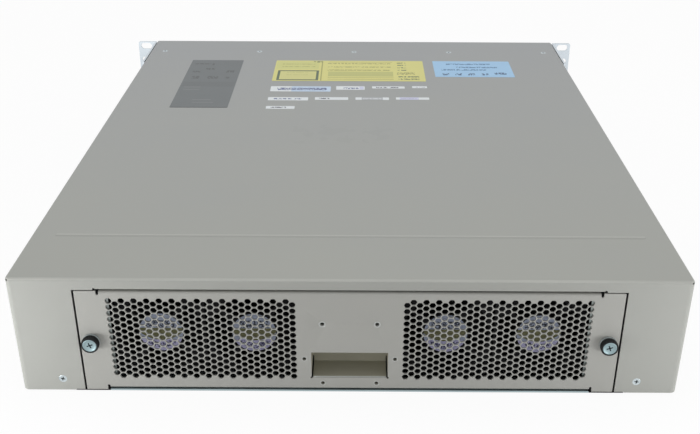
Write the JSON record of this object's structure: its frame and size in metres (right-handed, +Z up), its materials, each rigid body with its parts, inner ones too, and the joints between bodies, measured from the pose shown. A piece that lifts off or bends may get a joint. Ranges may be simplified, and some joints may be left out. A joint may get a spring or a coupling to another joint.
{
  "type": "modular chassis switch",
  "caption": "Low rack-mount network switch chassis with a perforated pull-out fan tray, captive thumbscrews, plug-in power supplies, a port card and slotted rack ears.",
  "frame": {"origin": "centre of the underside of the base pan", "axes": "+Z up, +Y from the fan side towards the port side, +X to the right for someone facing the fan side"},
  "size_m": [0.4826, 0.5325, 0.0874],
  "materials": {
    "cover_paint": "fine matte powder coat",
    "tray_paint": "fine matte powder coat",
    "panel_paint": "fine matte powder coat",
    "zinc_sheet": "bright zinc plating",
    "zinc_screw": "zinc plated",
    "stainless_rod": "polished",
    "black_plastic": "fine texture",
    "fan_plastic": "moulded",
    "latch_plastic": "moulded",
    "circuit_board": "solder mask",
    "sink_aluminium": "extruded",
    "cage_metal": "stamped",
    "socket_plastic": "moulded"
  },
  "bodies": {
    "chassis": {"base_pan": "zinc_sheet", "top_cover": "cover_paint", "fan_bay_frame": "zinc_sheet", "front_panel": "panel_paint", "rack_ear_right": "zinc_sheet", "rack_ear_left": "zinc_sheet", "psu_bay_wall": "zinc_sheet", "psu_bay_shelf": "zinc_sheet", "slot_deck": "zinc_sheet", "slot_divider": "zinc_sheet", "card_rails": "black_plastic", "main_board": "circuit_board", "heat_sinks": "sink_aluminium", "port_cage": "cage_metal", "port_plugs": "black_plastic", "console_jacks": "socket_plastic", "power_backplane": "circuit_board", "fan_socket": "socket_plastic", "cover_screws": "zinc_screw", "ear_screws": "zinc_screw", "slot_cover": "panel_paint", "slot_cover_screws": "zinc_screw"},
    "fan_tray": {"fan_tray_face": "tray_paint", "fan_tray_box": "zinc_sheet", "fan_tray_board": "circuit_board", "finger_pocket": "tray_paint", "fan_1_frame": "fan_plastic", "fan_2_frame": "fan_plastic", "fan_3_frame": "fan_plastic", "fan_4_frame": "fan_plastic", "ferrule_left": "zinc_screw", "ferrule_right": "zinc_screw"},
    "line_card": {"line_card_front": "panel_paint", "line_card_board": "circuit_board", "line_card_cage": "cage_metal", "line_card_plugs": "black_plastic"},
    "fan_1": {"fan_1_rotor": "fan_plastic"},
    "fan_2": {"fan_2_rotor": "fan_plastic"},
    "fan_3": {"fan_3_rotor": "fan_plastic"},
    "fan_4": {"fan_4_rotor": "fan_plastic"},
    "screw_travel_left": {"thumbscrew_left_washer": "zinc_screw"},
    "thumbscrew_left": {"thumbscrew_left": "zinc_screw", "thumbscrew_left_grip": "black_plastic"},
    "screw_travel_right": {"thumbscrew_right_washer": "zinc_screw"},
    "thumbscrew_right": {"thumbscrew_right": "zinc_screw", "thumbscrew_right_grip": "black_plastic"},
    "line_card_screw_left": {"line_card_screw_left": "zinc_screw"},
    "line_card_screw_right": {"line_card_screw_right": "zinc_screw"},
    "psu_lower": {"psu_lower_case": "zinc_sheet", "psu_lower_front": "zinc_sheet", "psu_lower_inlet": "socket_plastic"},
    "psu_lower_bail": {"psu_lower_bail": "stainless_rod"},
    "psu_lower_latch": {"psu_lower_latch": "latch_plastic"},
    "psu_lower_fan": {"psu_lower_rotor": "fan_plastic"},
    "psu_upper": {"psu_upper_case": "zinc_sheet", "psu_upper_front": "zinc_sheet", "psu_upper_inlet": "socket_plastic"},
    "psu_upper_bail": {"psu_upper_bail": "stainless_rod"},
    "psu_upper_latch": {"psu_upper_latch": "latch_plastic"},
    "psu_upper_fan": {"psu_upper_rotor": "fan_plastic"}
  },
  "joints": [
    {"name": "fan_tray_slide", "type": "slide", "parent": "chassis", "child": "fan_tray", "axis": [0, -1, 0], "range_m": [0, 0.06]},
    {"name": "fan_1_spin", "type": "hinge", "parent": "fan_tray", "child": "fan_1", "pos_m": [-0.1255, -0.23, 0.0404], "axis": [0, 1, 0], "continuous": true},
    {"name": "fan_2_spin", "type": "hinge", "parent": "fan_tray", "child": "fan_2", "pos_m": [-0.0635, -0.23, 0.0404], "axis": [0, 1, 0], "continuous": true},
    {"name": "fan_3_spin", "type": "hinge", "parent": "fan_tray", "child": "fan_3", "pos_m": [0.0635, -0.23, 0.0404], "axis": [0, 1, 0], "continuous": true},
    {"name": "fan_4_spin", "type": "hinge", "parent": "fan_tray", "child": "fan_4", "pos_m": [0.1255, -0.23, 0.0404], "axis": [0, 1, 0], "continuous": true},
    {"name": "thumbscrew_left_travel", "type": "slide", "parent": "fan_tray", "child": "screw_travel_left", "axis": [0, -1, 0], "range_m": [0, 0.0045]},
    {"name": "thumbscrew_left_turn", "type": "hinge", "parent": "screw_travel_left", "child": "thumbscrew_left", "pos_m": [-0.1692, -0.258, 0.04], "axis": [0, -1, 0], "range_deg": [0, 3300]},
    {"name": "thumbscrew_right_travel", "type": "slide", "parent": "fan_tray", "child": "screw_travel_right", "axis": [0, -1, 0], "range_m": [0, 0.0045]},
    {"name": "thumbscrew_right_turn", "type": "hinge", "parent": "screw_travel_right", "child": "thumbscrew_right", "pos_m": [0.1692, -0.258, 0.04], "axis": [0, -1, 0], "range_deg": [0, 3300]},
    {"name": "line_card_slide", "type": "slide", "parent": "chassis", "child": "line_card", "axis": [0, 1, 0], "range_m": [0, 0.24]},
    {"name": "line_card_screw_left_turn", "type": "hinge", "parent": "line_card", "child": "line_card_screw_left", "pos_m": [-0.2113, 0.258, 0.0218], "axis": [0, 1, 0], "range_deg": [0, 1440]},
    {"name": "line_card_screw_right_turn", "type": "hinge", "parent": "line_card", "child": "line_card_screw_right", "pos_m": [-0.04985, 0.258, 0.0218], "axis": [0, 1, 0], "range_deg": [0, 1440]},
    {"name": "psu_lower_slide", "type": "slide", "parent": "chassis", "child": "psu_lower", "axis": [0, 1, 0], "range_m": [0, 0.3]},
    {"name": "psu_lower_bail_swing", "type": "hinge", "parent": "psu_lower", "child": "psu_lower_bail", "pos_m": [0.1515, 0.2594, 0.0339], "axis": [1, 0, 0], "range_deg": [0, 95]},
    {"name": "psu_lower_latch_press", "type": "hinge", "parent": "psu_lower", "child": "psu_lower_latch", "pos_m": [0.1775, 0.2586, 0.0212], "axis": [0, 0, 1], "range_deg": [0, 15], "stiffness_Nm_per_rad": 0.02},
    {"name": "psu_lower_fan_spin", "type": "hinge", "parent": "psu_lower", "child": "psu_lower_fan", "pos_m": [0.1515, 0.245, 0.0212], "axis": [0, 1, 0], "continuous": true},
    {"name": "psu_upper_slide", "type": "slide", "parent": "chassis", "child": "psu_upper", "axis": [0, 1, 0], "range_m": [0, 0.3]},
    {"name": "psu_upper_bail_swing", "type": "hinge", "parent": "psu_upper", "child": "psu_upper_bail", "pos_m": [0.1515, 0.2594, 0.076], "axis": [1, 0, 0], "range_deg": [0, 95]},
    {"name": "psu_upper_latch_press", "type": "hinge", "parent": "psu_upper", "child": "psu_upper_latch", "pos_m": [0.1775, 0.2586, 0.0633], "axis": [0, 0, 1], "range_deg": [0, 15], "stiffness_Nm_per_rad": 0.02},
    {"name": "psu_upper_fan_spin", "type": "hinge", "parent": "psu_upper", "child": "psu_upper_fan", "pos_m": [0.1515, 0.245, 0.0633], "axis": [0, 1, 0], "continuous": true}
  ],
  "couplings": [
    {"joint": "thumbscrew_left_turn", "follows": "thumbscrew_left_travel", "rad_per_m": 12566},
    {"joint": "thumbscrew_right_turn", "follows": "thumbscrew_right_travel", "rad_per_m": 12566}
  ]
}
